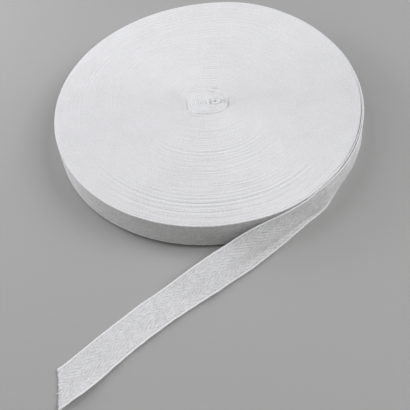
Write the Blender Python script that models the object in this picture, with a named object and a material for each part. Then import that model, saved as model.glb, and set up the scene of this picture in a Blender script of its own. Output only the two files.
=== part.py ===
# Roll of cotton herringbone tape: about 50 m of 20 mm tape wound flat into a disc that lies on its side.
# The outer turn has come loose on the right. It leaves the roll on its edge, turns over onto its back
# and lies out in front, down to a slanted cut.
# Metres, +Z up. The origin is on the roll's axis, on the surface that the roll lies on.

import math
from collections import namedtuple

import bmesh
import bpy
from mathutils import Vector

MM = 0.001

# The roll
ROLL_RADIUS = 100.0 * MM
ROLL_HEIGHT = 20.3 * MM        # the packed turns stand a little prouder than the tape is wide
COLUMNS = 90                   # flats round the roll
COLUMN_ANGLE = 360.0 / COLUMNS

# The tape
TAPE_WIDTH = 20.0 * MM
SHEET = 1.0 * MM               # thickness of the loose end
GAP = 0.3 * MM                 # between the loose end and the roll
CUT_SLANT = 10.5 * MM          # how far the cut runs back from its tip to the far edge
CUT_STRETCH = 30.0 * MM        # length over which the cross lines swing into the cut
STRIPS = 6                     # flats across the tape
STATION = 4.0 * MM             # length of a flat along the tape
HEADING_REACH = 6.0 * MM       # the cross lines stand square to the edge as it runs over this far each way

# The step in the roll's outline, where its outer turn becomes the loose end. Angles are in degrees,
# anticlockwise from +X, and the tape is wound clockwise seen from above.
STEP_ANGLE = 24.0
STEP_DEPTH = SHEET + GAP
STEP_EASE = 100.0              # the step has closed up this far round the roll
STEP_HALF = 0.1                # half the angle that the step's own face takes up
STEP_REACH = 0.51 * COLUMN_ANGLE     # points this near the step move onto its face
STEP_ROWS = (92.0 * MM, 98.3 * MM)   # radii between which the rows start to follow the step
LEAVES_ANGLE = -44.0           # the loose end parts from the roll here
HUG_STATION = 4.0              # degrees between its stations on the roll

# Where the roll is out of round: a flat on the right, a swell behind it, a small one in front of it,
# and a faint flat at the back
Swell = namedtuple("Swell", "angle spread height")
SWELLS = (
    Swell(7.0, 25.0, -2.1 * MM),
    Swell(66.0, 13.0, 1.55 * MM),
    Swell(-70.0, 8.0, 0.85 * MM),
    Swell(112.0, 16.0, -0.45 * MM),
)

# The turns' start: a tight coil off the roll's axis, then an oval round it
EYE = Vector((4.6, -2.2, 0.0)) * MM
EYE_REACH = 15.0 * MM          # radius at which the turns are centred on the roll's axis again
OVAL_RADIUS = 12.6 * MM
OVAL_SPREAD = 6.0 * MM
OVAL_SHARE = 0.08              # how much longer than wide the oval is, each way

# The upper face from the centre to the rim, then the wall and the flat underside
Ring = namedtuple("Ring", "radius height")
RINGS = (
    Ring(0.0, 19.0),           # bottom of the small hole in the eye
    Ring(0.9, 20.1),
    Ring(2.6, 20.3),
    Ring(4.7, 20.15),          # the eye's own ring
    Ring(5.6, 20.3),
    Ring(11.7, 20.3),
    Ring(12.6, 20.0),          # line of the oval
    Ring(13.5, 20.3),
    Ring(28.0, 20.3),
    Ring(44.8, 20.3),
    Ring(45.6, 19.9),          # inner ring
    Ring(46.6, 20.3),
    Ring(64.0, 20.3),
    Ring(82.3, 20.3),
    Ring(83.2, 19.85),         # outer ring
    Ring(84.2, 20.3),
    Ring(92.0, 20.3),
    Ring(98.3, 20.3),
    Ring(99.4, 20.0),
    Ring(100.0, 19.3),         # top of the wall
    Ring(100.0, 10.0),
    Ring(100.0, 0.8),
    Ring(99.5, 0.2),
    Ring(98.7, 0.0),           # rim of the flat underside
    Ring(0.0, 0.0),
)

# The loose end after it parts from the roll. x and y are its lower edge on the surface, in millimetres.
# lean is its tilt from flat, 90 when it stands on its edge. curl is how far its cross line bows,
# flatter by that angle at the lower edge and steeper by it at the upper one.
Section = namedtuple("Section", "x y lean curl")
SECTIONS = (
    Section(63.0, -79.6, 86.0, 4.0),
    Section(59.2, -84.9, 81.8, 8.0),      # small kink in the lower edge
    Section(55.6, -87.0, 82.0, 11.0),
    Section(48.0, -92.6, 79.8, 14.0),
    Section(34.9, -102.3, 70.0, 18.0),
    Section(22.5, -111.1, 51.0, 18.0),
    Section(10.5, -119.0, 28.0, 12.0),
    Section(-1.8, -125.9, 18.0, 6.0),
    Section(-17.6, -134.6, 11.0, 2.0),
    Section(-33.1, -143.1, 1.0, 0.0),     # flat on the surface from here on
    Section(-51.2, -154.5, 0.0, 0.0),
    Section(-70.7, -168.7, 0.0, 0.0),
    Section(-85.7, -180.0, 0.0, 0.0),
    Section(-97.0, -186.2, 0.0, 0.0),     # tip of the cut
)

COTTON_WHITE = (0.80, 0.80, 0.81, 1.0)
COTTON_ROUGHNESS = 0.9

WELD = 0.001 * MM              # points closer than this are one
SHARP_ANGLE = 40.0             # edges sharper than this stay crisp, the rest is shaded smooth


def bell(distance, spread):
    return math.exp(-0.5 * (distance / spread) ** 2)


def ease(value, low, high):
    share = min(max((value - low) / (high - low), 0.0), 1.0)
    return share * share * (3.0 - 2.0 * share)


def swell_at(angle):
    total = 0.0
    for swell in SWELLS:
        apart = (angle - swell.angle + 180.0) % 360.0 - 180.0
        total += swell.height * bell(apart, swell.spread)
    return total


def step_at(angle):
    """How far the outline lies inside the full round, at an angle clockwise from the step."""
    turned = (STEP_ANGLE - angle) % 360.0
    return STEP_DEPTH * max(0.0, 1.0 - turned / STEP_EASE)


def outline_radius(angle):
    return ROLL_RADIUS + swell_at(angle) - step_at(angle)


def wound_point(radius, angle, height):
    """The place of a point of a perfect disc on the real roll."""
    share = (radius / ROLL_RADIUS) ** 2
    step_share = ease(radius, *STEP_ROWS)
    if step_share > 0.0:
        apart = (angle - STEP_ANGLE + 180.0) % 360.0 - 180.0
        if abs(apart) < STEP_REACH:
            angle = STEP_ANGLE + math.copysign(STEP_HALF, apart)
    true_radius = radius + share * swell_at(angle) - step_share * step_at(angle)
    oval = OVAL_SHARE * bell(radius - OVAL_RADIUS, OVAL_SPREAD)
    centre = EYE * (1.0 - ease(radius, 0.0, EYE_REACH))
    turn = math.radians(angle)
    return Vector((
        centre.x + true_radius * (1.0 + oval) * math.cos(turn),
        centre.y + true_radius * (1.0 - oval) * math.sin(turn),
        height,
    ))


def finish(bm, name, material):
    bmesh.ops.remove_doubles(bm, verts=bm.verts[:], dist=WELD)
    bmesh.ops.recalc_face_normals(bm, faces=bm.faces[:])
    mesh = bpy.data.meshes.new(name)
    bm.to_mesh(mesh)
    bm.free()
    mesh.materials.append(material)
    mesh.shade_smooth()
    mesh.set_sharp_from_angle(angle=math.radians(SHARP_ANGLE))
    made = bpy.data.objects.new(name, mesh)
    bpy.context.scene.collection.objects.link(made)
    return made


def make_roll(material):
    """A turned disc whose points are then moved to the out-of-round, stepped winding."""
    bm = bmesh.new()
    start = math.radians(STEP_ANGLE - COLUMN_ANGLE / 2.0)
    points = []
    for ring in RINGS:
        radius = ring.radius * MM
        place = (radius * math.cos(start), radius * math.sin(start), ring.height * MM)
        points.append(bm.verts.new(place))
    edges = [bm.edges.new(pair) for pair in zip(points[:-1], points[1:])]
    bmesh.ops.spin(
        bm, geom=points + edges, cent=(0, 0, 0), axis=(0, 0, 1),
        angle=2.0 * math.pi, steps=COLUMNS, use_merge=True,
    )
    for vert in bm.verts:
        x, y, height = vert.co
        vert.co = wound_point(math.hypot(x, y), math.degrees(math.atan2(y, x)), height)
    return finish(bm, "wound_roll", material)


def loose_sections():
    """Stations of the loose end, from the step, round the roll's side and out along the table."""
    stations = []
    angle = STEP_ANGLE - STEP_HALF - math.degrees(GAP / ROLL_RADIUS)
    while angle > LEAVES_ANGLE + HUG_STATION / 2.0:
        stations.append(hug_section(angle))
        angle -= HUG_STATION
    stations.append(hug_section(LEAVES_ANGLE))
    return stations + list(SECTIONS)


def hug_section(angle):
    radius = (outline_radius(angle) + GAP) / MM
    turn = math.radians(angle)
    return Section(radius * math.cos(turn), radius * math.sin(turn), 90.0, 0.0)


def smooth_path(stations):
    """A function from a length along the lower edge to the section there, and the whole length."""
    lengths = [0.0]
    climbs = []
    for last, here in zip(stations[:-1], stations[1:]):
        run = math.hypot(here.x - last.x, here.y - last.y) * MM
        lengths.append(lengths[-1] + run)
        climbs.append([(b - a) / run for a, b in zip(last, here)])
    slopes = [climbs[0]]
    for i in range(1, len(stations) - 1):
        before, after = lengths[i] - lengths[i - 1], lengths[i + 1] - lengths[i]
        share = before / (before + after)
        slopes.append([a + (b - a) * share for a, b in zip(climbs[i - 1], climbs[i])])
    slopes.append(climbs[-1])

    def section_at(length):
        i = 0
        while i < len(lengths) - 2 and lengths[i + 1] < length:
            i += 1
        run = lengths[i + 1] - lengths[i]
        t = (length - lengths[i]) / run
        values = []
        for a, b, da, db in zip(stations[i], stations[i + 1], slopes[i], slopes[i + 1]):
            values.append(
                a * (2 * t**3 - 3 * t**2 + 1) + b * (3 * t**2 - 2 * t**3)
                + run * (da * (t**3 - 2 * t**2 + t) + db * (t**3 - t**2))
            )
        return Section(*values)

    return section_at, lengths[-1]


def chord_share(bow):
    """The chord of an arc over its length, where the arc turns by twice this angle."""
    return math.sin(bow) / bow if bow else 1.0


def loose_point(section_at, length, across):
    """A point of the loose end's under or inner face, across it from its lower edge."""
    here = section_at(length)
    ahead = section_at(length + HEADING_REACH)
    behind = section_at(length - HEADING_REACH)
    way = Vector((ahead.x - behind.x, ahead.y - behind.y, 0.0)).normalized()
    inward = Vector((way.y, -way.x, 0.0))
    lean = math.radians(min(max(here.lean, 0.0), 90.0))
    curl = min(max(math.radians(here.curl), 0.0), lean)
    bow = curl * across
    tilt = lean - curl + bow
    chord = across * TAPE_WIDTH * chord_share(bow)
    point = Vector((here.x, here.y, 0.0)) * MM
    return point + chord * (math.cos(tilt) * inward + math.sin(tilt) * Vector((0, 0, 1)))


def make_loose_end(material):
    """A grid laid on the sections, then given its thickness on the outer and upper side."""
    section_at, whole = smooth_path(loose_sections())
    flats = round(whole / STATION)
    bm = bmesh.new()
    bmesh.ops.create_grid(bm, x_segments=flats, y_segments=STRIPS, size=0.5)
    for vert in bm.verts:
        along, across = vert.co.x + 0.5, vert.co.y + 0.5
        length = along * whole
        length -= CUT_SLANT * across * ease(length, whole - CUT_STRETCH, whole)
        vert.co = loose_point(section_at, length, across)
    bmesh.ops.recalc_face_normals(bm, faces=bm.faces[:])
    if max(bm.faces, key=lambda face: face.calc_center_median().x).normal.x > 0.0:
        bmesh.ops.reverse_faces(bm, faces=bm.faces[:])
    bmesh.ops.solidify(bm, geom=bm.faces[:], thickness=SHEET)
    return finish(bm, "loose_end", material)


def cotton():
    material = bpy.data.materials.new("white_cotton")
    material.use_nodes = True
    shader = material.node_tree.nodes["Principled BSDF"]
    shader.inputs["Base Color"].default_value = COTTON_WHITE
    shader.inputs["Roughness"].default_value = COTTON_ROUGHNESS
    shader.inputs["Metallic"].default_value = 0.0
    return material


for old in list(bpy.data.objects):
    bpy.data.objects.remove(old, do_unlink=True)
white_cotton = cotton()
make_roll(white_cotton)
make_loose_end(white_cotton)
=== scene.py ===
# A roll of cotton herringbone tape: one length of tape wound on itself, with its outer turn come
# loose on the right and laid out in front. Every turn is the tape itself, standing on its edge.
# Metres, +Z up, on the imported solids.
import math

import bmesh
import bpy
import numpy as np
from mathutils import Matrix, Vector


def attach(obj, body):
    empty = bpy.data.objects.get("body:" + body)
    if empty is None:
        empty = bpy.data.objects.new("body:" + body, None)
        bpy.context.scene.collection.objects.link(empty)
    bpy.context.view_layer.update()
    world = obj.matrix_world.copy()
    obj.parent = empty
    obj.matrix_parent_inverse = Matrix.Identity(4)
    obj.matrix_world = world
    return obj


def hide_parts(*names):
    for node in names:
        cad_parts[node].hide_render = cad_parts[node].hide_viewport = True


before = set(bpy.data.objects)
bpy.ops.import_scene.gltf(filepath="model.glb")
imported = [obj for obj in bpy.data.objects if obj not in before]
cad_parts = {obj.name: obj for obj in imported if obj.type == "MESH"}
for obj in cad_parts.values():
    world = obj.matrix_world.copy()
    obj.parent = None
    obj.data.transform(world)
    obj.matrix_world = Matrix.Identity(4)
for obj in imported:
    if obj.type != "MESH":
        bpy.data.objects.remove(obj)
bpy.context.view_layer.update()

mm = 0.001

# one for every uneven thing, so that each comes out the same every time
seeds = {
    "topEdge": 3,
    "bottomEdge": 4,
    "cutFibres": 5,
    "turns": 6,
    "threads": 8,
    "ripple": 11,
    "wave": 12,
    "cut": 21,
}


# Small helpers for lines that bend and sway

def ease(value, low, high):
    share = np.clip((value - low) / (high - low), 0.0, 1.0)
    return share * share * (3.0 - 2.0 * share)


def bell(distance, spread):
    return np.exp(-0.5 * (distance / spread) ** 2)


def apart(angle, other):
    return (angle - other + 180.0) % 360.0 - 180.0      # degrees, the short way round


def sway(along, lengths, seed):
    # an uneven line of about one unit either way, from waves of these lengths
    phases = np.random.default_rng(seed).uniform(0.0, 2.0 * math.pi, len(lengths))
    total = 0.0
    for length, phase in zip(lengths, phases):
        total = total + np.sin(2.0 * math.pi * along / length + phase)
    return total / math.sqrt(len(lengths))


def smoothLine(marks, rows):
    # a smooth line through these rows of numbers, one row at each mark
    marks, rows = np.array(marks, float), np.array(rows, float)
    runs = np.diff(marks)
    climbs = np.diff(rows, axis=0) / runs[:, None]
    shares = (runs[:-1] / (runs[:-1] + runs[1:]))[:, None]
    slopes = np.vstack([climbs[:1], climbs[:-1] + (climbs[1:] - climbs[:-1]) * shares, climbs[-1:]])

    def at(place):
        i = np.clip(np.searchsorted(marks, place) - 1, 0, len(runs) - 1)
        t = ((place - marks[i]) / runs[i])[:, None]
        run = runs[i][:, None]
        return (
            rows[i] * (2 * t**3 - 3 * t**2 + 1) + rows[i + 1] * (3 * t**2 - 2 * t**3)
            + run * (slopes[i] * (t**3 - 2 * t**2 + t) + slopes[i + 1] * (t**3 - t**2))
        )

    return at


def pointsOf(mesh):
    places = np.empty(3 * len(mesh.vertices), np.float32)
    mesh.vertices.foreach_get("co", places)
    return places.reshape(-1, 3).astype(float)


def movePoints(mesh, places):
    mesh.vertices.foreach_set("co", places.astype(np.float32).ravel())
    mesh.update()


def mapPoints(mesh, name, across, up):
    # gives the mesh a map from two numbers a point
    corner = np.empty(len(mesh.loops), np.int32)
    mesh.loops.foreach_get("vertex_index", corner)
    layer = mesh.uv_layers.new(name=name)
    layer.uv.foreach_set("vector", np.stack([across[corner], up[corner]], 1).astype(np.float32).ravel())


def addPiece(mesh, name, material, node):
    mesh.materials.append(material)
    mesh.shade_smooth()
    piece = bpy.data.objects.new(name, mesh)
    bpy.context.scene.collection.objects.link(piece)
    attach(piece, "root")
    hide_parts(node)
    return piece


# The tape as it leaves the loom, counted in threads: picks along it and ends across it

tape = {
    "width": 20.25 * mm,
    "ends": 45,                 # warp threads, which run along the tape
    "pick": 0.9 * mm,           # from one weft thread to the next
    "thickness": 0.52 * mm,     # without the threads that stand proud
    "over": 0.14 * mm,          # a warp thread on top
    "under": -0.12 * mm,        # and where it dips under the weft
    "groove": 0.05 * mm,        # between two threads
    "uneven": 0.035 * mm,       # thick and thin places in the threads
    "unevenPicks": 389,         # after which these come round again
    "backRelief": 0.4,          # the under face shows that much of the upper one's relief
    "edge": 3,                  # ends in each woven edge
    "edgeRelief": 0.35,         # the woven edges are that much flatter
    "edgeRise": 0.07 * mm,      # and thicker
    "furrow": 0.15 * mm,        # between a woven edge and the herringbone
    "edgeRound": 0.22 * mm,     # the edges' rounding, on each face
}

# The herringbone's bands from the edge that lies in front: first end, and whether the lines
# climb (-1) or fall (1) across the band along the tape. The edges are ribs, with no lean.
bands = [
    {"first": 0, "lean": 0},
    {"first": 3, "lean": 1},
    {"first": 9, "lean": -1},
    {"first": 22, "lean": 1},
    {"first": 35, "lean": -1},
    {"first": 42, "lean": 0},
]
repeat = 4                      # picks in one repeat: over two, under two


def bandPhases():
    # each band's phase at its first end: every turn of the lines breaks them by half a repeat
    phases = [0]
    for last, band in zip(bands[:-1], bands[1:]):
        phases.append(phases[-1] + last["lean"] * (band["first"] - 1 - last["first"]) + repeat // 2)
    return [phase % repeat for phase in phases]


def reliefTable():
    # heights over the tape's face, for each pick of a repeat and each half end across
    table = np.zeros((repeat, 2 * tape["ends"] + 1))
    for i, (band, phase) in enumerate(zip(bands, bandPhases())):
        last = bands[i + 1]["first"] if i + 1 < len(bands) else tape["ends"]
        share = 1.0 if band["lean"] else tape["edgeRelief"]
        rise = 0.0 if band["lean"] else tape["edgeRise"]
        for end in range(band["first"], last):
            turn = (np.arange(repeat) + phase + band["lean"] * (end - band["first"])) % repeat
            table[:, 2 * end + 1] = rise + share * np.where(turn < repeat // 2, tape["over"], tape["under"])
    table[:, 2:-1:2] = (table[:, 1:-2:2] + table[:, 3::2]) / 2.0 - tape["groove"]
    table[:, [2 * tape["edge"], -1 - 2 * tape["edge"]]] -= tape["furrow"]
    table[:, 0] = table[:, 1] - tape["edgeRound"]
    table[:, -1] = table[:, -2] - tape["edgeRound"]
    return table


def unevenTable():
    # thick and thin places in the warp threads, each softened by its neighbours
    size = (tape["unevenPicks"], tape["ends"] + 1)
    lumps = np.random.default_rng(seeds["threads"]).normal(0.0, tape["uneven"], size)
    table = np.repeat(lumps, 2, axis=1)[:, :-1]
    table[:, 1:-1] = (table[:, :-2] + 2.0 * table[:, 1:-1] + table[:, 2:]) / 4.0
    return table


relief = reliefTable()
unevenness = unevenTable()


def lookUp(table, pick, row):
    # between four values of a table that comes round again along the tape
    low, first = row.astype(int), np.floor(pick).astype(int)
    acrossShare, alongShare = row - low, pick - first
    here, ahead = table[first % len(table)], table[(first + 1) % len(table)]
    each = np.arange(len(row))
    behind = here[each, low] * (1.0 - acrossShare) + here[each, low + 1] * acrossShare
    front = ahead[each, low] * (1.0 - acrossShare) + ahead[each, low + 1] * acrossShare
    return behind * (1.0 - alongShare) + front * alongShare


def reliefAt(pick, end):
    row = np.clip(2.0 * end, 0.0, relief.shape[1] - 1.001)
    return lookUp(relief, pick, row) + lookUp(unevenness, pick, row)


def flatTape(picks, rows):
    # a slab of tape on the loom: x in picks, y in ends, z 0 below and 1 above
    bm = bmesh.new()
    bmesh.ops.create_grid(bm, x_segments=picks, y_segments=rows, size=0.5)
    bmesh.ops.translate(bm, verts=bm.verts[:], vec=(0.5, 0.5, 0.0))
    bmesh.ops.scale(bm, verts=bm.verts[:], vec=(picks, tape["ends"], 1.0))
    return bm


def thicken(bm, name):
    # gives the slab its thickness, from 0 to 1
    bmesh.ops.recalc_face_normals(bm, faces=bm.faces[:])
    bmesh.ops.solidify(bm, geom=bm.faces[:], thickness=1.0)
    lowest = min(vert.co.z for vert in bm.verts)
    bmesh.ops.translate(bm, verts=bm.verts[:], vec=(0.0, 0.0, -lowest))
    bmesh.ops.recalc_face_normals(bm, faces=bm.faces[:])
    # the square ends stay sharp, so that two pieces of the tape meet without a seam
    first, last = (choose(vert.co.x for vert in bm.verts) for choose in (min, max))
    for edge in bm.edges:
        near, far = sorted(vert.co.x for vert in edge.verts)
        edge.smooth = not (far < first + 1e-4 or near > last - 1e-4)
    mesh = bpy.data.meshes.new(name)
    bm.to_mesh(mesh)
    bm.free()
    return mesh


def clothDepth(pick, end, layer):
    # how far a point of the slab lies above the tape's under face
    bump = reliefAt(pick, end)
    return np.where(layer > 0.5, tape["thickness"] + bump, -tape["backRelief"] * bump)


# The roll, from the same sizes as its solid

roll = {
    "radius": 100.0 * mm,
    "pitch": 0.63 * mm,         # from turn to turn
    "top": 20.3 * mm,
    "eyeRadius": 1.3 * mm,      # outside the first turn
    "step": 24.0,               # degrees, where the outer turn becomes the loose end
    "climb": 100.0,             # degrees past the step in which the outermost turn closes up
    "settled": 40.0,            # turns in which the winding becomes an even spiral
    "bend": 0.02 * mm,          # how far a chord of the winding may cut inside its arc
    "meets": (76.0 * mm, 48.0 * mm),        # where its three pieces meet
    "weld": 0.0002 * mm,        # points closer than this are one
    "mapSize": 2.02,            # the map for baking, in radii of the disc in it
    "mapMargin": 3.0 * mm,      # how far that disc goes past a piece's outermost turn
}

loose = {
    "sheet": 1.0 * mm,          # thickness of its solid
    "gap": 0.3 * mm,            # from the roll's solid
    "stepDepth": 1.3 * mm,      # the solid's outline lies that far in, just past the step
    "leaves": -44.0,            # degrees
    "station": 4.0,             # degrees
    "heading": 6.0 * mm,        # the cross lines stand square to the edge as it runs over this far
    "slant": 10.5 * mm,         # how far the cut runs back
    "clear": 0.04 * mm,         # above the surface
    "joined": 45.0 * mm,        # from the step to where its edges run free of the wound turn's
    "pressed": 0.2 * mm,        # how much closer to the roll it lies for a while past the step
    "pressedFrom": (10.0 * mm, 40.0 * mm),
    "pressedTo": (70.0 * mm, 105.0 * mm),
    "stands": (125.0 * mm, 155.0 * mm),     # from the tip: where it rises on to its edge
    "between": (2.0 * mm, 15.0 * mm),       # across it there, from the lower edge's shift to the upper's
    "foldSoft": 0.55 * mm,      # how far its folds are rounded
    "foldSlope": 5.0 * mm,      # from the trough up to the flat cloth
}

swells = [                      # out of round: degrees, degrees, height
    {"angle": 7.0, "spread": 25.0, "height": -2.1 * mm},
    {"angle": 66.0, "spread": 13.0, "height": 1.55 * mm},
    {"angle": -70.0, "spread": 8.0, "height": 0.85 * mm},
    {"angle": 112.0, "spread": 16.0, "height": -0.45 * mm},
]

# Slow waves in the turns' outline: how many to a turn, where they start, how high they are, and
# the radius over which they drift round by a radian. They fade out towards the eye and the rim.
wobbles = [
    {"waves": 3.0, "start": 40.0, "height": 0.10 * mm, "drift": 9.0 * mm},
    {"waves": 5.0, "start": 200.0, "height": 0.07 * mm, "drift": -13.0 * mm},
]
wobbly = {"from": (2.0 * mm, 20.0 * mm), "to": (90.0 * mm, 97.0 * mm)}

# The loose turns round the inner coil are a little square
square = {"height": -0.7 * mm, "radius": 12.5 * mm, "spread": 3.0 * mm}

# The turns' real shape, in millimetres: a turn of this radius in an even winding is this wide and
# high, round a middle this far off the roll's axis. The first turns are a small coil to the right,
# with a loosely wound oval round it.
shapes = [
    {"radius": 0.0, "wide": 0.0, "high": 0.0, "x": 4.3, "y": -2.1},
    {"radius": 5.2, "wide": 4.3, "high": 3.9, "x": 4.8, "y": -2.3},
    {"radius": 12.0, "wide": 14.3, "high": 10.5, "x": -0.6, "y": -2.9},
    {"radius": 20.0, "wide": 20.6, "high": 19.2, "x": 0.0, "y": -0.8},
    {"radius": 30.0, "wide": 30.0, "high": 30.0, "x": 0.0, "y": 0.0},
    {"radius": 110.0, "wide": 110.0, "high": 110.0, "x": 0.0, "y": 0.0},
]

# Turns that sit lower than their neighbours: radius, depth and spread in millimetres, the side on
# which they sit lowest and how far that reaches in degrees, and what is left of it elsewhere
rings = [
    {"radius": 46.2, "depth": 0.34, "spread": 0.42, "side": 262.0, "reach": 40.0, "rest": 0.15},
    {"radius": 49.0, "depth": 0.10, "spread": 0.30, "side": 262.0, "reach": 30.0, "rest": 0.0},
    {"radius": 61.0, "depth": 0.12, "spread": 0.40, "side": 285.0, "reach": 18.0, "rest": 0.0},
    {"radius": 69.3, "depth": 0.08, "spread": 0.40, "side": 110.0, "reach": 45.0, "rest": 0.0},
    {"radius": 77.2, "depth": 0.12, "spread": 0.30, "side": 275.0, "reach": 30.0, "rest": 0.0},
    {"radius": 79.4, "depth": 0.20, "spread": 0.35, "side": 250.0, "reach": 20.0, "rest": 0.0},
    {"radius": 80.6, "depth": 0.08, "spread": 0.40, "side": 80.0, "reach": 30.0, "rest": 0.0},
    {"radius": 81.8, "depth": 0.14, "spread": 0.35, "side": 272.0, "reach": 30.0, "rest": 0.0},
    {"radius": 84.8, "depth": 0.36, "spread": 0.42, "side": 252.0, "reach": 48.0, "rest": 0.10},
    {"radius": 87.6, "depth": 0.14, "spread": 0.35, "side": 268.0, "reach": 34.0, "rest": 0.0},
    {"radius": 91.3, "depth": 0.20, "spread": 0.40, "side": 256.0, "reach": 20.0, "rest": 0.0},
    {"radius": 95.2, "depth": 0.20, "spread": 0.35, "side": 262.0, "reach": 24.0, "rest": 0.0},
    {"radius": 96.3, "depth": 0.12, "spread": 0.30, "side": 258.0, "reach": 16.0, "rest": 0.0},
    {"radius": 94.4, "depth": 0.18, "spread": 0.30, "side": 5.0, "reach": 14.0, "rest": 0.0},
    {"radius": 96.0, "depth": 0.20, "spread": 0.30, "side": 2.0, "reach": 16.0, "rest": 0.0},
    {"radius": 99.0, "depth": 1.30, "spread": 0.25, "side": -28.0, "reach": 19.0, "rest": 0.0},
    {"radius": 19.6, "depth": 0.35, "spread": 0.60, "side": 133.0, "reach": 6.0, "rest": 0.0},
    {"radius": 14.3, "depth": 1.20, "spread": 0.45, "side": 69.0, "reach": 4.5, "rest": 0.0},
    {"radius": 12.2, "depth": 1.20, "spread": 0.45, "side": 73.0, "reach": 4.5, "rest": 0.0},
    {"radius": 12.4, "depth": 0.80, "spread": 0.40, "side": 342.0, "reach": 18.0, "rest": 0.0},
    {"radius": 12.6, "depth": 0.65, "spread": 0.40, "side": 262.0, "reach": 34.0, "rest": 0.0},
    {"radius": 12.0, "depth": 1.00, "spread": 0.42, "side": 189.0, "reach": 14.0, "rest": 0.0},
    {"radius": 7.6, "depth": 0.35, "spread": 0.28, "side": 355.0, "reach": 25.0, "rest": 0.0},
    {"radius": 7.5, "depth": 1.10, "spread": 0.32, "side": 176.0, "reach": 9.0, "rest": 0.0},
    {"radius": 6.5, "depth": 1.10, "spread": 0.32, "side": 182.0, "reach": 9.0, "rest": 0.0},
    {"radius": 4.9, "depth": 1.50, "spread": 0.36, "side": 322.0, "reach": 42.0, "rest": 0.05},
    {"radius": 4.6, "depth": 1.00, "spread": 0.32, "side": 168.0, "reach": 30.0, "rest": 0.0},
    {"radius": 3.4, "depth": 1.00, "spread": 0.28, "side": 95.0, "reach": 25.0, "rest": 0.0},
]
ring = {
    "lip": 0.45,                # the turns beside it stand up by this share
    "lipMost": 0.16 * mm,
    "lipAway": 1.35 * mm,
    "lipSpread": 0.45 * mm,
}


def turnRadius(depth):
    # the tape's outer face, so many turns in from where the loose end starts
    turn = np.floor(depth)
    turned = 360.0 * (turn + 1.0 - depth)
    loose = np.minimum(turned / roll["climb"], 1.0)
    share = loose + (turned / 360.0 - loose) * ease(depth, 0.0, roll["settled"])
    return roll["radius"] - roll["pitch"] * (turn + 1.0 - share)


def turnAngle(depth):
    return roll["step"] + 360.0 * depth


def depthAfter(length):
    # turns wound in by that length of tape, from the step inwards
    inner = np.sqrt(roll["radius"] ** 2 - length * roll["pitch"] / math.pi)
    return (roll["radius"] - inner) / roll["pitch"]


def swellAt(angle):
    total = 0.0
    for swell in swells:
        total = total + swell["height"] * bell(apart(angle, swell["angle"]), swell["spread"])
    return total


def windingPlace(radius, angle, height):
    # a point of an even winding on the real, out of round roll
    column = {key: np.array([shape[key] for shape in shapes]) * mm for key in shapes[0]}
    names = ("wide", "high", "x", "y")
    wide, high, x, y = (np.interp(radius, column["radius"], column[name]) for name in names)
    waved = 0.0
    for row in wobbles:
        phase = np.radians(row["waves"] * angle + row["start"]) + radius / row["drift"]
        waved = waved + row["height"] * np.sin(phase)
    waved = waved * ease(radius, *wobbly["from"]) * (1.0 - ease(radius, *wobbly["to"]))
    nearby = bell(radius - square["radius"], square["spread"])
    squared = square["height"] * np.cos(np.radians(4.0 * angle)) * nearby
    out = (radius / roll["radius"]) ** 2 * swellAt(angle) + waved + squared
    turn = np.radians(angle)
    return np.stack([
        x + (wide + out) * np.cos(turn),
        y + (high + out) * np.sin(turn),
        height + 0.0 * out,
    ], 1)


# The turns' edges, which weren't wound quite level
levels = {
    "top": -0.16 * mm,          # the upper edge, from the roll's top
    "topSway": 0.065 * mm,      # along the tape
    "middleSway": 0.05 * mm,    # and so much more in the middle
    "middle": (10.0 * mm, 25.0 * mm),
    "lengths": [17.0 * mm, 29.0 * mm, 53.0 * mm, 97.0 * mm, 211.0 * mm, 433.0 * mm],
    "turnSway": 0.04 * mm,      # from turn to turn
    "turnLengths": [1.9 * mm, 3.1 * mm, 4.7 * mm],
    "rim": (98.2 * mm, 100.2 * mm),
    "rimDrop": 0.15 * mm,       # the outermost turns sit that much lower
    "bottom": 0.06 * mm,        # the lower edge, from the surface
    "bottomSway": 0.03 * mm,
}

# The outer turns' lower edge sits off the surface and leans out, most in front. Behind the loose end
# it stands straight, and it is tucked in where the loose end leaves. Sides and reaches in degrees.
outerTurns = {
    "radius": (97.0 * mm, 99.6 * mm),
    "shown": (34.0, 52.0),      # from the middle of the stretch behind the loose end
    "lift": 0.6 * mm,
    "front": {"lift": 1.9 * mm, "side": 257.0, "reach": 30.0},
    "lean": 0.7 * mm,
    "frontLean": {"lean": 0.55 * mm, "side": 258.0, "reach": 22.0},
    "tuck": {"depth": 0.9 * mm, "side": -37.0, "reach": 9.0},
}


def ringsAt(radius, angle):
    # how much lower the turn sits there
    low = 0.0
    for row in rings:
        turned = apart(angle, row["side"])
        off = radius + roll["pitch"] * turned / 360.0 - row["radius"] * mm
        side = row["rest"] + (1.0 - row["rest"]) * bell(turned, row["reach"])
        lips = sum(bell(off + away, ring["lipSpread"]) for away in (-ring["lipAway"], ring["lipAway"]))
        lip = min(ring["lip"] * row["depth"] * mm, ring["lipMost"])
        low = low + side * (row["depth"] * mm * bell(off, row["spread"] * mm) - lip * lips)
    return low


def topAt(radius, angle, length):
    # the upper edge of the turns
    uneven = levels["topSway"] + levels["middleSway"] * (1.0 - ease(radius, *levels["middle"]))
    top = roll["top"] + levels["top"] + uneven * sway(length, levels["lengths"], seeds["topEdge"])
    top = top + levels["turnSway"] * sway(radius, levels["turnLengths"], seeds["turns"])
    top = top - levels["rimDrop"] * ease(radius, *levels["rim"])
    return top - ringsAt(radius, angle)


def shownShare(angle):
    # 1 where the outermost wound turn shows, 0 behind the loose end
    middle = (roll["step"] + loose["leaves"]) / 2.0
    return ease(np.abs(apart(angle, middle)), *outerTurns["shown"])


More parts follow.
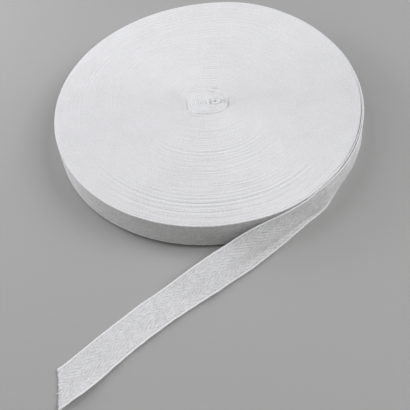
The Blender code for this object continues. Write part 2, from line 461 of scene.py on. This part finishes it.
def bottomAt(radius, angle, length):
    # the lower edge of the turns
    front = outerTurns["front"]
    uneven = sway(length, levels["lengths"], seeds["bottomEdge"])
    low = levels["bottom"] + levels["bottomSway"] * uneven
    lift = outerTurns["lift"] + front["lift"] * bell(apart(angle, front["side"]), front["reach"])
    return low + lift * ease(radius, *outerTurns["radius"]) * shownShare(angle)


def footAt(radius, angle, height):
    # how far the outer turns lean out towards the surface
    front, tuck = outerTurns["frontLean"], outerTurns["tuck"]
    lean = outerTurns["lean"] + front["lean"] * bell(apart(angle, front["side"]), front["reach"])
    out = lean * shownShare(angle) - tuck["depth"] * bell(apart(angle, tuck["side"]), tuck["reach"])
    return out * (1.0 - height / roll["top"]) * ease(radius, *outerTurns["radius"])


def discMap(mesh, radius, angle, share, outermost):
    # for baking: every turn keeps its place on the disc, with its sides folded in beside its edge
    reach = (radius + share * roll["pitch"]) / outermost / roll["mapSize"]
    turn = np.radians(angle)
    mapPoints(mesh, "OFBake", 0.5 + reach * np.cos(turn), 0.5 + reach * np.sin(turn))


# The tape's section as it stands in the roll, once round from the inner face below: its place
# across the pitch, below the top or above the bottom, the end of the weave there, and its share of
# the pitch in the map for baking
section = [
    {"across": 0.02, "inset": 0.24, "top": 0, "end": 0.6, "map": 0.12},
    {"across": 0.16, "inset": 0.05, "top": 0, "end": 0.2, "map": 0.08},
    {"across": 0.50, "inset": 0.00, "top": 0, "end": 0.0, "map": 0.04},
    {"across": 0.84, "inset": 0.05, "top": 0, "end": 0.2, "map": 0.92},
    {"across": 0.98, "inset": 0.24, "top": 0, "end": 0.6, "map": 0.88},
    {"across": 0.98, "inset": 0.24, "top": 1, "end": 0.6, "map": 0.84},
    {"across": 0.84, "inset": 0.05, "top": 1, "end": 0.2, "map": 0.68},
    {"across": 0.50, "inset": 0.00, "top": 1, "end": 0.0, "map": 0.50},
    {"across": 0.16, "inset": 0.05, "top": 1, "end": 0.2, "map": 0.32},
    {"across": 0.02, "inset": 0.24, "top": 1, "end": 0.6, "map": 0.16},
]


def woundTurns(name, outer, inner, material):
    # the turns between two radii of an even winding, as one closed tube along the tape
    reach = math.sqrt(8.0 * roll["bend"])
    count = 4.0 * math.pi / (3.0 * roll["pitch"] * reach) * (outer ** 1.5 - inner ** 1.5)
    stations = math.ceil(count)
    bm = bmesh.new()
    bmesh.ops.create_grid(bm, x_segments=stations, y_segments=len(section), size=0.5)
    mesh = bpy.data.meshes.new(name)
    bm.to_mesh(mesh)
    bm.free()
    grid = pointsOf(mesh)
    row = np.rint((grid[:, 1] + 0.5) * len(section)).astype(int) % len(section)
    even = outer ** 1.5 + (grid[:, 0] + 0.5) * (inner ** 1.5 - outer ** 1.5)
    depth = (roll["radius"] - even ** (2.0 / 3.0)) / roll["pitch"]
    length = math.pi / roll["pitch"] * (roll["radius"] ** 2 - even ** (4.0 / 3.0))
    radius, angle = turnRadius(depth), turnAngle(depth)
    column = {key: np.array([point[key] for point in section], float)[row] for key in section[0]}
    top, bottom = topAt(radius, angle, length), bottomAt(radius, angle, length)
    inset = column["inset"] * mm
    height = np.where(column["top"] > 0.5, top - inset, bottom + inset)
    out = footAt(radius, angle, height) - (1.0 - column["across"]) * roll["pitch"]
    places = windingPlace(radius + out, angle, height)
    movePoints(mesh, places)
    ends = np.where(column["top"] > 0.5, tape["ends"] - column["end"], column["end"])
    mapPoints(mesh, "threads", length / tape["pick"], ends)
    discMap(mesh, radius - roll["pitch"], angle, column["map"], outer + roll["mapMargin"])
    bm = bmesh.new()
    bm.from_mesh(mesh)
    bmesh.ops.remove_doubles(bm, verts=bm.verts[:], dist=roll["weld"])
    bmesh.ops.holes_fill(bm, edges=[edge for edge in bm.edges if edge.is_boundary], sides=0)
    bmesh.ops.recalc_face_normals(bm, faces=bm.faces[:])
    bm.to_mesh(mesh)
    bm.free()
    return addPiece(mesh, name, material, "wound_roll")


def outerTurn(material):
    # the outermost wound turn, with its weave raised, from the step round to the step
    whole = math.pi / roll["pitch"] * (roll["radius"] ** 2 - (roll["radius"] - roll["pitch"]) ** 2)
    picks = round(whole / tape["pick"])
    rows = tape["ends"] + 1
    mesh = thicken(flatTape(picks, rows), "outer_turn")
    grid = pointsOf(mesh)
    pick = grid[:, 0]
    end = np.clip(grid[:, 1] * rows / tape["ends"] - 0.5, 0.0, tape["ends"])
    length = pick / picks * whole
    depth = np.minimum(depthAfter(length), 0.999999)       # just short of the next turn
    radius, angle = turnRadius(depth), turnAngle(depth)
    out = clothDepth(pick, end, grid[:, 2]) - tape["thickness"] - tape["over"]
    top, bottom = topAt(radius, angle, length), bottomAt(radius, angle, length)
    height = bottom + (top - bottom) * end / tape["ends"]
    movePoints(mesh, windingPlace(radius + out + footAt(radius, angle, height), angle, height))
    mapPoints(mesh, "threads", pick, end)
    return addPiece(mesh, "outer_turn", material, "wound_roll")


# The loose end, on the same stations as its solid. x and y are its lower edge on the surface and
# lean and curl its tilt and its bow across, in millimetres and degrees.

stations = [
    {"x": 65.9, "y": -75.4, "lean": 88.0, "curl": 2.0},
    {"x": 61.0, "y": -81.0, "lean": 85.0, "curl": 5.0},
    {"x": 55.2, "y": -86.3, "lean": 82.0, "curl": 10.0},
    {"x": 48.0, "y": -92.4, "lean": 79.8, "curl": 14.0},
    {"x": 34.9, "y": -102.3, "lean": 70.0, "curl": 6.0},
    {"x": 22.5, "y": -111.1, "lean": 51.0, "curl": -7.0},
    {"x": 10.5, "y": -119.0, "lean": 28.0, "curl": -9.0},
    {"x": -1.8, "y": -125.9, "lean": 18.0, "curl": -6.0},
    {"x": -17.6, "y": -134.6, "lean": 11.0, "curl": -2.0},
    {"x": -33.1, "y": -143.1, "lean": 1.0, "curl": 0.0},
    {"x": -51.2, "y": -154.5, "lean": 0.0, "curl": 0.0},
    {"x": -70.7, "y": -168.7, "lean": 0.0, "curl": 0.0},
    {"x": -85.7, "y": -180.0, "lean": 0.0, "curl": 0.0},
    {"x": -97.0, "y": -186.2, "lean": 0.0, "curl": 0.0},
]

# Where the tape turns over on to the surface it has a soft trough above its lower edge, and its
# upper part bends back towards the roll: millimetres from the tip, the trough's place from the
# lower edge and how deep it is, where the bend begins and how far the upper edge goes back
folds = [
    {"fromTip": -20.0, "trough": 6.0, "depth": 0.0, "bend": 18.0, "back": 0.0},
    {"fromTip": 104.0, "trough": 6.0, "depth": 0.0, "bend": 18.0, "back": 0.0},
    {"fromTip": 121.0, "trough": 5.4, "depth": 0.35, "bend": 18.0, "back": 0.0},
    {"fromTip": 134.0, "trough": 4.9, "depth": 0.75, "bend": 18.0, "back": 0.0},
    {"fromTip": 146.0, "trough": 4.4, "depth": 1.00, "bend": 18.0, "back": 0.05},
    {"fromTip": 159.0, "trough": 3.7, "depth": 1.05, "bend": 17.8, "back": 0.15},
    {"fromTip": 171.0, "trough": 2.9, "depth": 1.10, "bend": 17.2, "back": 0.50},
    {"fromTip": 184.0, "trough": 2.0, "depth": 0.90, "bend": 15.2, "back": 0.95},
    {"fromTip": 196.0, "trough": 1.2, "depth": 0.30, "bend": 14.4, "back": 1.00},
    {"fromTip": 209.0, "trough": 1.0, "depth": 0.0, "bend": 14.6, "back": 0.70},
    {"fromTip": 230.0, "trough": 1.0, "depth": 0.0, "bend": 16.0, "back": 0.20},
    {"fromTip": 340.0, "trough": 1.0, "depth": 0.0, "bend": 16.0, "back": 0.0},
]


def loosePath():
    # the lower edge from the step round the roll's side and out along the surface, as a lookup of
    # x, y, lean and curl by its length, and the whole length. It starts two stations before the
    # step, so that it leaves the wound turn squarely.
    before = 2
    first = roll["step"] + before * loose["station"]
    rows = []
    for angle in np.arange(first, loose["leaves"] - 0.1, -loose["station"]):
        turned = roll["step"] - angle
        drawn = loose["stepDepth"] * max(0.0, 1.0 - turned / roll["climb"])
        radius = (roll["radius"] + float(swellAt(angle)) - drawn + loose["gap"]) / mm
        turn = math.radians(angle)
        rows.append([radius * math.cos(turn), radius * math.sin(turn), 90.0, 0.0])
    rows += [[row["x"], row["y"], row["lean"], row["curl"]] for row in stations]
    runs = np.hypot(*np.diff(np.array(rows)[:, :2], axis=0).T) * mm
    marks = np.concatenate([[0.0], np.cumsum(runs)]) - runs[:before].sum()
    return smoothLine(marks, rows), marks[-1]


pathAt, pathLength = loosePath()
foldsAt = smoothLine(
    [row["fromTip"] * mm for row in folds],
    [[row[key] * mm for key in ("trough", "depth", "bend", "back")] for row in folds],
)


def above(value, limit, soft):
    # how far the value is over a limit, with a soft start
    return (np.hypot(value - limit, soft) + value - limit) / 2.0


def foldDepth(fromTip, across):
    # how far the folds take the cloth in towards the roll
    trough, depth, bend, back = np.clip(foldsAt(fromTip).T, 0.0, None)
    soft = loose["foldSoft"]
    low = 1.0 - above(trough, across, soft) / (trough + 0.1 * mm)
    high = 1.0 - np.clip(above(across, trough, soft) / loose["foldSlope"], 0.0, 1.0)
    return depth * low * high**2 + back * above(across, bend, soft) / (tape["width"] - bend)


# How far the laid tape's lower and upper edge lie out beyond those of its solid, in millimetres
edges = [
    {"fromTip": -20.0, "lower": 1.40, "upper": -0.20},
    {"fromTip": 6.0, "lower": 1.40, "upper": -0.30},
    {"fromTip": 18.0, "lower": 1.15, "upper": -0.45},
    {"fromTip": 30.0, "lower": 1.00, "upper": -0.75},
    {"fromTip": 42.0, "lower": 0.55, "upper": -0.70},
    {"fromTip": 54.0, "lower": 0.68, "upper": -0.85},
    {"fromTip": 66.0, "lower": 0.66, "upper": -0.60},
    {"fromTip": 78.0, "lower": 0.63, "upper": -0.95},
    {"fromTip": 90.0, "lower": 0.52, "upper": -1.00},
    {"fromTip": 102.0, "lower": 0.80, "upper": -0.77},
    {"fromTip": 114.0, "lower": 0.35, "upper": -0.50},
    {"fromTip": 125.0, "lower": 0.30, "upper": -0.85},
    {"fromTip": 135.0, "lower": 0.15, "upper": -0.85},
    {"fromTip": 145.0, "lower": -0.12, "upper": -0.50},
    {"fromTip": 155.0, "lower": -0.15, "upper": -0.35},
    {"fromTip": 165.0, "lower": -0.30, "upper": -0.50},
    {"fromTip": 175.0, "lower": -0.15, "upper": -1.00},
    {"fromTip": 180.0, "lower": 0.45, "upper": -1.20},
    {"fromTip": 185.0, "lower": 0.86, "upper": -1.40},
    {"fromTip": 190.0, "lower": 0.74, "upper": -1.50},
    {"fromTip": 195.0, "lower": 0.18, "upper": -1.50},
    {"fromTip": 200.0, "lower": -0.12, "upper": -1.40},
    {"fromTip": 205.0, "lower": -0.73, "upper": -1.10},
    {"fromTip": 210.0, "lower": -1.07, "upper": -0.90},
    {"fromTip": 216.0, "lower": -0.95, "upper": -0.70},
    {"fromTip": 225.0, "lower": -0.45, "upper": -0.40},
    {"fromTip": 235.0, "lower": -0.07, "upper": -0.15},
    {"fromTip": 245.0, "lower": 0.60, "upper": 0.0},
    {"fromTip": 256.0, "lower": 0.10, "upper": 0.0},
    {"fromTip": 270.0, "lower": 0.0, "upper": 0.0},
    {"fromTip": 285.0, "lower": 0.0, "upper": 0.0},
    {"fromTip": 400.0, "lower": 0.0, "upper": 0.0},
]
edgesAt = smoothLine(
    [row["fromTip"] * mm for row in edges], [[row["lower"] * mm, row["upper"] * mm] for row in edges]
)


def looseSpread(fromTip, across):
    # away from the roll: all over the width where the tape lies flat, at the edges where it stands
    lower, upper = edgesAt(fromTip).T
    flat, stood = across / tape["width"], ease(across, *loose["between"])
    fade = flat + (stood - flat) * ease(fromTip, *loose["stands"])
    return lower * (1.0 - fade) - upper * fade


# How the laid tape lies on the surface
lie = {
    "rise": 0.15 * mm,
    "wave": 0.18 * mm,          # long waves over the whole width
    "waveLengths": [34.0 * mm, 61.0 * mm, 103.0 * mm],
    "edge": 6.0 * mm,           # how far in from its lower edge that one stands off
    "edgeRise": 0.20 * mm,
    "ripple": 0.50 * mm,        # and ripples
    "rippleLengths": [8.3 * mm, 12.7 * mm, 21.0 * mm, 46.0 * mm],
    "tip": 1.6 * mm,            # the tip's curl, how far back it is and how wide
    "tipPlace": 10.0 * mm,
    "tipSpread": 9.0 * mm,
}


def looseLift(fromTip, across, lean):
    # how far the tape stands off the surface: its lower edge sways, the tip curls up a little, and
    # at the step it meets the wound turn, which is a little less high than the tape is wide
    edge = 1.0 - ease(across, 0.0, lie["edge"])
    flat = np.cos(lean)
    ripple = sway(fromTip, lie["rippleLengths"], seeds["ripple"])
    ripple = np.clip(0.5 + 0.5 * ripple, 0.0, None)
    wave = np.clip(1.0 + sway(fromTip, lie["waveLengths"], seeds["wave"]), 0.0, None)
    lift = lie["rise"] + edge * (lie["edgeRise"] + lie["ripple"] * ripple) + lie["wave"] * wave
    tip = lie["tip"] * edge * bell(fromTip - lie["tipPlace"], lie["tipSpread"])
    bottom, top = bottomAt(roll["radius"], roll["step"], 0.0), topAt(roll["radius"], roll["step"], 0.0)
    meets = bottom + (top - bottom - tape["width"]) * across / tape["width"]
    joined = 1.0 - ease(pathLength - fromTip, 0.0, loose["joined"])
    return lift * flat + tip + meets * joined


def loosePlace(fromTip, across, out):
    # a point of the laid tape: along it from the tip, across it from its lower edge, and out of
    # its under face
    length = pathLength - fromTip
    here = pathAt(length)
    way = pathAt(length + loose["heading"]) - pathAt(length - loose["heading"])
    way = way[:, :2] / np.linalg.norm(way[:, :2], axis=1)[:, None]
    inward = np.stack([way[:, 1], -way[:, 0]], 1)
    share = across / tape["width"]
    lean = np.radians(np.clip(here[:, 2], 0.0, 90.0))
    curl = np.minimum(np.radians(here[:, 3]), lean)
    bow = curl * share
    tilt = lean - curl + bow
    chord = across * np.sinc(bow / math.pi)
    facing = lean - curl + 2.0 * bow
    # the solid is thicker than the tape, which keeps to its outer side, but lies against the roll
    # just past the step
    against = ease(length, *loose["pressedFrom"]) * (1.0 - ease(length, *loose["pressedTo"]))
    spare = loose["sheet"] - tape["thickness"] - tape["over"] - loose["pressed"] * against
    out = out + loose["clear"] + spare * np.sin(facing) - foldDepth(fromTip, across)
    level = chord * np.cos(tilt) - out * np.sin(facing) - looseSpread(fromTip, across)
    height = chord * np.sin(tilt) + out * np.cos(facing) + looseLift(fromTip, across, lean)
    return np.stack([
        here[:, 0] * mm + level * inward[:, 0],
        here[:, 1] * mm + level * inward[:, 1],
        height,
    ], 1)


# The cut: the warp threads' ends stick out a little, and a tuft of longer ones with them

fray = {
    "shortest": 0.15 * mm,
    "longest": 0.9 * mm,
    "radius": 0.24 * mm,
    "sides": 5,
    "rings": 3,
    "taper": 0.6,               # its tip's width, as a share of its root's
    "thinner": 0.3,             # and a further share taken off that
    "drift": 0.35,              # sideways for each length
    "root": 0.4 * mm,           # inside the cloth
    "uneven": 0.22 * mm,        # how far the cut itself wanders
    "wander": [3.1, 5.3, 8.9, 17.0],        # over so many ends
    "reach": 3.0 * mm,          # and how far into the cloth that goes
}
tuft = [                        # the longer threads that stick out together
    {"end": 18.5, "length": 1.4 * mm, "drift": 0.35},
    {"end": 18.9, "length": 2.0 * mm, "drift": 0.20},
    {"end": 19.3, "length": 2.3 * mm, "drift": 0.05},
    {"end": 19.7, "length": 1.7 * mm, "drift": -0.20},
]


def cutSway(end):
    # how far the cut wanders along the tape
    return fray["uneven"] * sway(end, fray["wander"], seeds["cut"])


def looseEnd(material):
    picks = round(pathLength / tape["pick"])
    bm = flatTape(picks, 2 * tape["ends"])
    slant = loose["slant"] / pathLength * picks
    bmesh.ops.bisect_plane(
        bm, geom=bm.verts[:] + bm.edges[:] + bm.faces[:], dist=1e-5, plane_co=(0.0, 0.0, 0.0),
        plane_no=(-tape["ends"], slant, 0.0), clear_outer=True,
    )
    mesh = thicken(bm, "loose_end_cloth")
    grid = pointsOf(mesh)
    pick, end = grid[:, 0], grid[:, 1]
    fromTip = pick / picks * pathLength
    behind = fromTip - end / tape["ends"] * loose["slant"]
    fromTip = fromTip + cutSway(end) * (1.0 - ease(behind, 0.0, fray["reach"]))
    across = end / tape["ends"] * tape["width"]
    movePoints(mesh, loosePlace(fromTip, across, clothDepth(pick - picks, end, grid[:, 2])))
    mapPoints(mesh, "threads", pick - picks, end)
    return addPiece(mesh, "loose_end_cloth", material, "loose_end")


def strand():
    # one thread's end, from 0 to 1 along x and one unit thick
    bm = bmesh.new()
    bmesh.ops.create_cone(
        bm, cap_ends=True, segments=fray["sides"], radius1=1.0, radius2=fray["taper"], depth=1.0
    )
    bmesh.ops.translate(bm, verts=bm.verts[:], vec=(0.0, 0.0, 0.5))
    for cutAt in np.linspace(0.0, 1.0, fray["rings"] + 2)[1:-1]:
        bmesh.ops.bisect_plane(
            bm, geom=bm.verts[:] + bm.edges[:] + bm.faces[:],
            plane_co=(0.0, 0.0, cutAt), plane_no=(0.0, 0.0, 1.0),
        )
    mesh = bpy.data.meshes.new("strand")
    bm.to_mesh(mesh)
    bm.free()
    return mesh


def cutFibres(material):
    random = np.random.default_rng(seeds["cutFibres"])
    rows = [
        {"end": end + 0.5, "length": random.uniform(fray["shortest"], fray["longest"]),
         "drift": random.uniform(-1.0, 1.0) * fray["drift"]}
        for end in range(tape["ends"])
    ]
    one = strand()
    shape = pointsOf(one)
    bm = bmesh.new()
    for row in rows + tuft:
        along = shape[:, 2]
        across = row["end"] / tape["ends"] * tape["width"]
        root = row["end"] / tape["ends"] * loose["slant"] + cutSway(row["end"]) + fray["root"]
        length = row["length"] + fray["root"]
        wide = fray["radius"] * (1.0 - fray["thinner"] * along)
        places = loosePlace(
            root - along * length, across + wide * shape[:, 0] + row["drift"] * length * along**2,
            tape["thickness"] / 2.0 + wide * shape[:, 1],
        )
        mesh = one.copy()
        movePoints(mesh, places)
        bm.from_mesh(mesh)
        bpy.data.meshes.remove(mesh)
    bmesh.ops.recalc_face_normals(bm, faces=bm.faces[:])
    mesh = bpy.data.meshes.new("cut_fibres")
    bm.to_mesh(mesh)
    bm.free()
    bpy.data.meshes.remove(one)
    middle = np.full(len(mesh.vertices), tape["edge"] / 2.0)
    mapPoints(mesh, "threads", middle, middle)
    return addPiece(mesh, "cut_fibres", material, "loose_end")


# The cloth's finish, with shade painted into its colour between the threads

cotton = {
    "colour": (0.855, 0.855, 0.859),
    # painted shade down between the threads and in the furrows; thin places lean towards it too
    "paintedShadeAndTone": (0.385, 0.385, 0.385),     # down between the threads
    "roughness": 0.88,
    "roughVary": 0.12,
    "specular": 0.25,
    "sheen": 0.12,
    "threadDepth": 0.115 * mm,
    "fibreDepth": 0.02 * mm,
}

# Heights of the threads in the material, from 0 in the deepest gap to 1. The colour follows them as painted
# shade: the lower a thread lies, the darker
weave = {
    "warp": 0.50,               # a warp thread's sides, and how much higher its middle is
    "warpRound": 0.25,
    "weft": 0.44,
    "weftRound": 0.18,
    "rib": 0.68,                # the woven edges
    "ribRound": 0.30,
    # the furrow is painted shade in the colour as well as a bump
    "furrow": 0.30,             # beside them, and how it narrows for each end away
    "furrowSlope": -0.40,
    "streak": 1.20,             # thick and thin places along the threads
    "streakAtEdge": 0.25,
    "streakScale": 0.8,
    "streakAcross": 0.4,
    "grain": 0.85,              # and all over
    "grainScale": 1400.0,
    "noiseDetail": 2.0,
    "cloud": 0.16,              # slow changes in colour
    "cloudScale": 60.0,
    "fibreScale": 4200.0,
    "fibreDetail": 3.0,
}


def mathNode(tree, operation, *values):
    node = tree.nodes.new("ShaderNodeMath")
    node.operation = operation
    for socket, value in zip(node.inputs, values):
        if isinstance(value, (int, float)):
            socket.default_value = value
        else:
            tree.links.new(value, socket)
    return node.outputs[0]


def centredNoise(tree, place, scale):
    noise = tree.nodes.new("ShaderNodeTexNoise")
    noise.inputs["Scale"].default_value = scale
    noise.inputs["Detail"].default_value = weave["noiseDetail"]
    tree.links.new(place, noise.inputs["Vector"])
    return mathNode(tree, "SUBTRACT", noise.outputs[0], 0.5)


def threadGroup():
    # the herringbone's threads, from the map that counts picks and ends
    tree = bpy.data.node_groups.new("HerringboneThreads", "ShaderNodeTree")
    for name in ("Painted Shade And Tone", "Thread Height", "Fibre Height"):
        tree.interface.new_socket(name, in_out="OUTPUT", socket_type="NodeSocketFloat")
    threads = tree.nodes.new("ShaderNodeUVMap")
    threads.uv_map = "threads"
    split = tree.nodes.new("ShaderNodeSeparateXYZ")
    tree.links.new(threads.outputs["UV"], split.inputs[0])
    pick, end = split.outputs[0], split.outputs[1]
    endIndex = mathNode(tree, "FLOOR", end)
    pickMiddle = mathNode(tree, "ADD", pick, 0.5)
    # each band adds its own lean and shift to the phase of the ends in it; the phase stays the same
    # along each of the herringbone's slanting lines
    phase = mathNode(tree, "FLOOR", pickMiddle)
    starts = bandPhases()
    for i, band in enumerate(bands[1:], 1):
        inside = mathNode(tree, "GREATER_THAN", endIndex, band["first"] - 0.5)
        last = bands[i - 1]
        shift = starts[i] - band["lean"] * band["first"] - starts[i - 1] + last["lean"] * last["first"]
        line = mathNode(tree, "MULTIPLY_ADD", endIndex, band["lean"] - last["lean"], shift)
        phase = mathNode(tree, "MULTIPLY_ADD", line, inside, phase)
    turn = mathNode(tree, "FLOORED_MODULO", phase, float(repeat))
    over = mathNode(tree, "LESS_THAN", turn, repeat / 2 - 0.5)
    alongPick = mathNode(tree, "FRACT", pickMiddle)
    warp = mathNode(tree, "SINE", mathNode(tree, "MULTIPLY", mathNode(tree, "FRACT", end), math.pi))
    weft = mathNode(tree, "SINE", mathNode(tree, "MULTIPLY", alongPick, math.pi))
    warpTop = mathNode(tree, "MULTIPLY_ADD", warp, weave["warpRound"], weave["warp"])
    weftTop = mathNode(tree, "MULTIPLY_ADD", weft, weave["weftRound"], weave["weft"])
    proud = mathNode(tree, "SUBTRACT", warpTop, weftTop)
    herringbone = mathNode(tree, "MULTIPLY_ADD", proud, over, weftTop)
    # the woven edges are a fine even rib, with a furrow beside it, painted darker as shade as well as bumped
    fromMiddle = mathNode(tree, "ABSOLUTE", mathNode(tree, "SUBTRACT", end, tape["ends"] / 2.0))
    halfWidth = tape["ends"] / 2.0 - tape["edge"]
    atEdge = mathNode(tree, "GREATER_THAN", fromMiddle, halfWidth)
    rib = mathNode(tree, "MULTIPLY_ADD", weft, weave["ribRound"], weave["rib"])
    proud = mathNode(tree, "SUBTRACT", rib, herringbone)
    height = mathNode(tree, "MULTIPLY_ADD", proud, atEdge, herringbone)
    toFurrow = mathNode(tree, "ABSOLUTE", mathNode(tree, "SUBTRACT", fromMiddle, halfWidth))
    furrow = mathNode(tree, "MULTIPLY_ADD", toFurrow, weave["furrowSlope"], weave["furrow"])
    height = mathNode(tree, "SUBTRACT", height, mathNode(tree, "MAXIMUM", furrow, 0.0))
    # thick and thin places, mostly in the herringbone, and a slower change in colour
    places = tree.nodes.new("ShaderNodeTexCoord")
    place = places.outputs["Object"]
    streaks = tree.nodes.new("ShaderNodeCombineXYZ")
    tree.links.new(mathNode(tree, "ADD", phase, alongPick), streaks.inputs[0])
    tree.links.new(mathNode(tree, "MULTIPLY", end, weave["streakAcross"]), streaks.inputs[1])
    amount = mathNode(tree, "MULTIPLY_ADD", atEdge, weave["streakAtEdge"] - weave["streak"], weave["streak"])
    streak = centredNoise(tree, streaks.outputs[0], weave["streakScale"])
    height = mathNode(tree, "MULTIPLY_ADD", streak, amount, height)
    grain = centredNoise(tree, place, weave["grainScale"])
    height = mathNode(tree, "MULTIPLY_ADD", grain, weave["grain"], height)
    cloud = centredNoise(tree, place, weave["cloudScale"])
    # painted shade and tone: low threads, gaps and furrows are painted darker as shade, thin places and slow
    # clouds as the cotton's own uneven tone
    paintedShadeAndTone = mathNode(tree, "MULTIPLY_ADD", cloud, weave["cloud"], height)
    fibres = tree.nodes.new("ShaderNodeTexNoise")
    fibres.inputs["Scale"].default_value = weave["fibreScale"]
    fibres.inputs["Detail"].default_value = weave["fibreDetail"]
    tree.links.new(place, fibres.inputs["Vector"])
    out = tree.nodes.new("NodeGroupOutput")
    tree.links.new(paintedShadeAndTone, out.inputs["Painted Shade And Tone"])
    tree.links.new(height, out.inputs["Thread Height"])
    tree.links.new(fibres.outputs[0], out.inputs["Fibre Height"])
    return tree


def cottonTape(name, threads):
    material = bpy.data.materials.new(name)
    material.use_nodes = True
    tree = material.node_tree
    shader = tree.nodes["Principled BSDF"]
    shader.inputs["Sheen Weight"].default_value = cotton["sheen"]
    shader.inputs["Specular IOR Level"].default_value = cotton["specular"]
    group = tree.nodes.new("ShaderNodeGroup")
    group.node_tree = threads
    # the colour runs from painted shade between the threads up to the cotton's own colour on their tops
    ramp = tree.nodes.new("ShaderNodeValToRGB")
    ramp.color_ramp.elements[0].color = (*cotton["paintedShadeAndTone"], 1.0)
    ramp.color_ramp.elements[0].position = 0.0
    ramp.color_ramp.elements[1].color = (*cotton["colour"], 1.0)
    ramp.color_ramp.elements[1].position = 1.0
    tree.links.new(group.outputs["Painted Shade And Tone"], ramp.inputs[0])
    tree.links.new(ramp.outputs[0], shader.inputs["Base Color"])
    vary = cotton["roughVary"]
    fibreHeight = group.outputs["Fibre Height"]
    rough = mathNode(tree, "MULTIPLY_ADD", fibreHeight, vary, cotton["roughness"] - vary / 2.0)
    tree.links.new(rough, shader.inputs["Roughness"])
    fibre = tree.nodes.new("ShaderNodeBump")
    fibre.inputs["Distance"].default_value = cotton["fibreDepth"]
    tree.links.new(fibreHeight, fibre.inputs["Height"])
    thread = tree.nodes.new("ShaderNodeBump")
    thread.inputs["Distance"].default_value = cotton["threadDepth"]
    tree.links.new(group.outputs["Thread Height"], thread.inputs["Height"])
    tree.links.new(fibre.outputs["Normal"], thread.inputs["Normal"])
    tree.links.new(thread.outputs["Normal"], shader.inputs["Normal"])
    return material


# Floor, light and camera

studio = {
    "floorColour": (0.388, 0.387, 0.380),
    "floorSize": 3.0,
    "floorRoughness": 0.9,
    "floorSpecular": 0.1,
}

# Soft boxes round the roll, aimed at its middle: degrees round it from the right, degrees up,
# metres away, and how blue their light is
lamps = [
    {"name": "right_low", "side": 0, "up": 28, "away": 1.3, "size": 0.7, "power": 6.2, "blue": 1.0},
    {"name": "right_high", "side": 0, "up": 50, "away": 1.3, "size": 0.7, "power": 5.1, "blue": 1.04},
    {"name": "back_left_low", "side": 150, "up": 20, "away": 1.3, "size": 0.7, "power": 5.5, "blue": 1.02},
    {"name": "back_left_high", "side": 150, "up": 60, "away": 0.9, "size": 0.5, "power": 2.15, "blue": 1.05},
    {"name": "left", "side": 180, "up": 28, "away": 1.3, "size": 0.7, "power": 2.95, "blue": 1.05},
    {"name": "front_left", "side": 225, "up": 20, "away": 1.3, "size": 0.7, "power": 2.8, "blue": 0.95},
    {"name": "front_right", "side": 330, "up": 50, "away": 1.3, "size": 0.7, "power": 3.55, "blue": 1.0},
]
# and a weak one straight above the surface, far on the left
glow = {"place": (-0.36, 0.20, 0.22), "size": 0.2, "power": 0.41, "blue": 1.05}

lens = {
    "place": (-0.010193, -0.318524, 0.329936),
    "down": 52.98,              # degrees below the horizon
    "turned": -7.307,           # the horizon's tilt, degrees
    "focal": 59.71,             # millimetres on a 36 mm sensor
    "shift": 0.0012,            # half a pixel of framing, left and up
    "nearest": 0.01,            # metres
}


def layFloor():
    bm = bmesh.new()
    bmesh.ops.create_grid(bm, x_segments=1, y_segments=1, size=studio["floorSize"])
    mesh = bpy.data.meshes.new("floor")
    bm.to_mesh(mesh)
    bm.free()
    material = bpy.data.materials.new("pale_floor")
    material.use_nodes = True
    shader = material.node_tree.nodes["Principled BSDF"]
    shader.inputs["Base Color"].default_value = (*studio["floorColour"], 1.0)
    shader.inputs["Roughness"].default_value = studio["floorRoughness"]
    shader.inputs["Specular IOR Level"].default_value = studio["floorSpecular"]
    mesh.materials.append(material)
    floor = bpy.data.objects.new("floor", mesh)
    bpy.context.scene.collection.objects.link(floor)


def hangLamp(name, place, way, size, power, blue):
    light = bpy.data.lights.new(name, "AREA")
    light.size = size
    light.energy = power
    light.color = (1.0, 1.0, blue)
    holder = bpy.data.objects.new(name, light)
    bpy.context.scene.collection.objects.link(holder)
    holder.location = place
    holder.rotation_mode = "QUATERNION"
    holder.rotation_quaternion = way.to_track_quat("-Z", "Y")


def lightStudio():
    world = bpy.data.worlds.new("studio")
    world.use_nodes = True
    world.node_tree.nodes["Background"].inputs["Strength"].default_value = 0.0
    bpy.context.scene.world = world
    for lamp in lamps:
        around, up = math.radians(lamp["side"]), math.radians(lamp["up"])
        out = Vector((math.cos(up) * math.cos(around), math.cos(up) * math.sin(around), math.sin(up)))
        hangLamp(lamp["name"], lamp["away"] * out, -out, lamp["size"], lamp["power"], lamp["blue"])
    down = Vector((0.0, 0.0, -1.0))
    hangLamp("glow", Vector(glow["place"]), down, glow["size"], glow["power"], glow["blue"])


def placeCamera():
    down, turned = math.radians(lens["down"]), math.radians(lens["turned"])
    forward = np.array([0.0, math.cos(down), -math.sin(down)])
    level = np.array([1.0, 0.0, 0.0])
    upright = np.cross(level, forward)
    right = math.cos(turned) * level + math.sin(turned) * upright
    up = -math.sin(turned) * level + math.cos(turned) * upright
    data = bpy.data.cameras.new("camera")
    data.lens = lens["focal"]
    data.clip_start = lens["nearest"]
    data.shift_x = -lens["shift"]
    data.shift_y = lens["shift"]
    camera = bpy.data.objects.new("camera", data)
    bpy.context.scene.collection.objects.link(camera)
    turn = Matrix(np.stack([right, up, -forward], 1).tolist()).to_4x4()
    camera.matrix_world = Matrix.Translation(lens["place"]) @ turn
    bpy.context.scene.camera = camera


print("Stage: floor, light and camera")
layFloor()
lightStudio()
placeCamera()
bpy.context.scene.view_settings.view_transform = "Standard"

print("Stage: cotton")
threads = threadGroup()
wovenCotton = cottonTape("woven_cotton", threads)

print("Stage: wound turns")
outside = roll["radius"] - roll["pitch"]
farther, nearer = roll["meets"]
woundTurns("turns_outer", outside, farther, wovenCotton)
woundTurns("turns_middle", farther, nearer, wovenCotton)
woundTurns("turns_inner", nearer, roll["eyeRadius"], wovenCotton)

print("Stage: outer turn")
outerTurn(wovenCotton)

print("Stage: loose end")
cloth = looseEnd(wovenCotton)
cutFibres(wovenCotton)
